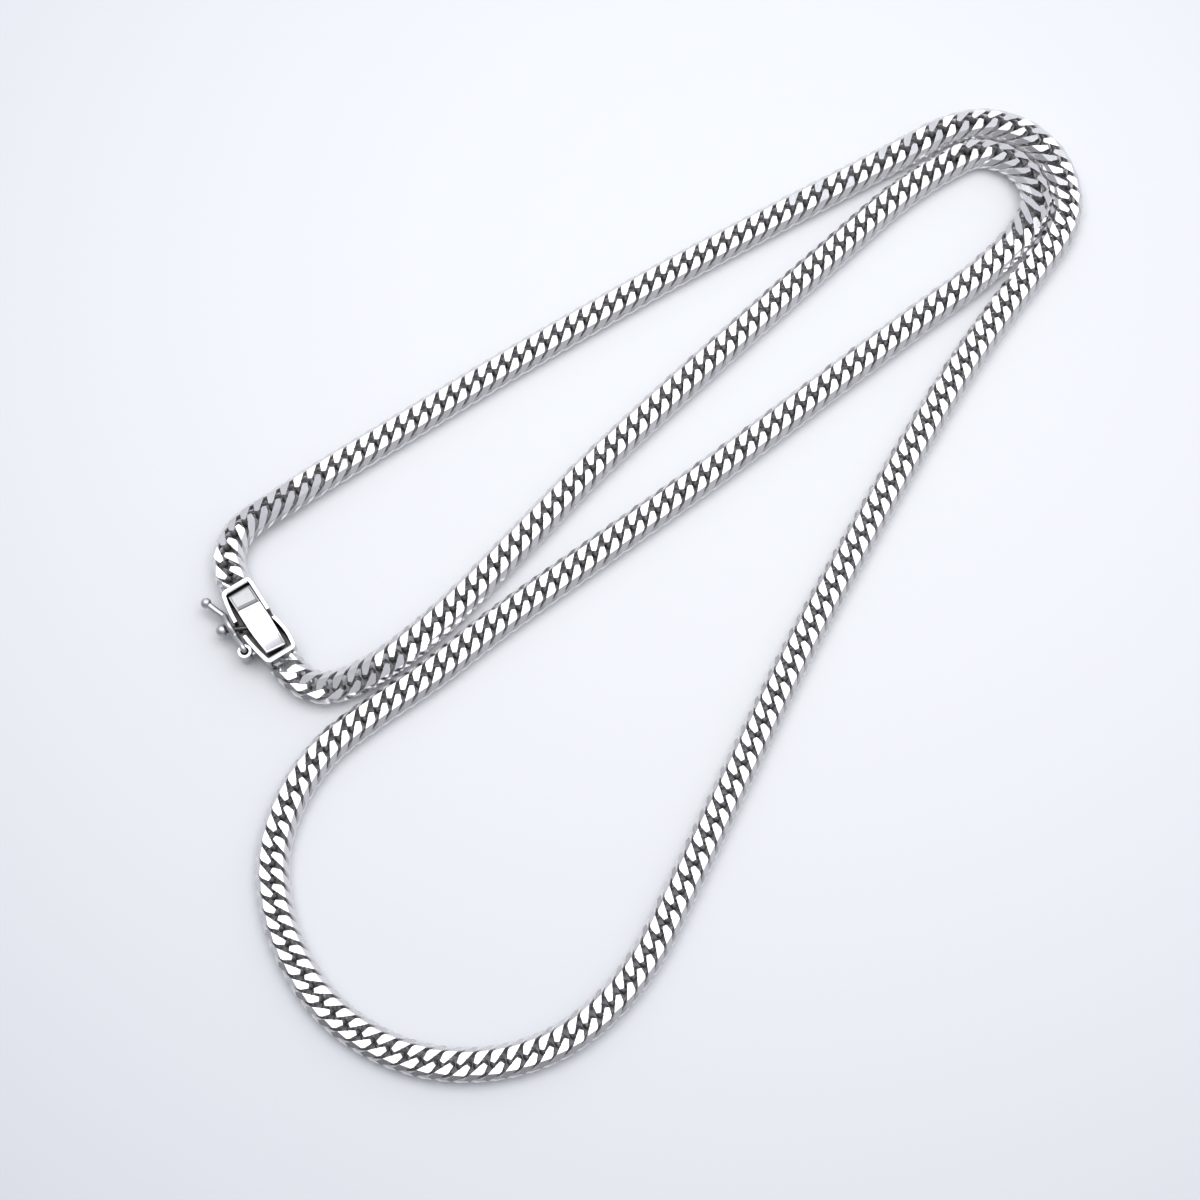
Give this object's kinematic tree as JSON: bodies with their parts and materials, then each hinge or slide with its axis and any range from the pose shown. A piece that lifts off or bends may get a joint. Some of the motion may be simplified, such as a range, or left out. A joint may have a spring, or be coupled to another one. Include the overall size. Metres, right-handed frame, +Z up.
{
  "type": "curb chain necklace",
  "caption": "Flat ground double curb chain necklace in white metal with a box clasp and a swinging safety lever, lying on a surface in a long folded loop.",
  "frame": {"origin": "middle of the clasp box's flat underside, which lies on the surface", "axes": "+Z up from the surface, +X to the right and +Y away from the viewer as the necklace lies; the clasp's long axis points at 123 degrees from +X"},
  "size_m": [0.0959, 0.1092, 0.003],
  "materials": {
    "chain_metal": "polished white precious metal, ground flats",
    "clasp_metal": "polished white precious metal"
  },
  "bodies": {
    "necklace": {"chain_upper": "chain_metal", "chain_lower": "chain_metal", "clasp_box": "clasp_metal", "clasp_tongue": "clasp_metal"},
    "lever": {"safety_lever": "clasp_metal"}
  },
  "joints": [
    {"name": "lever_hinge", "type": "hinge", "parent": "necklace", "child": "lever", "pos_m": [-0.00132, -0.00336, 0.00155], "axis": [0, 0, 1], "range_deg": [0, 150]}
  ]
}
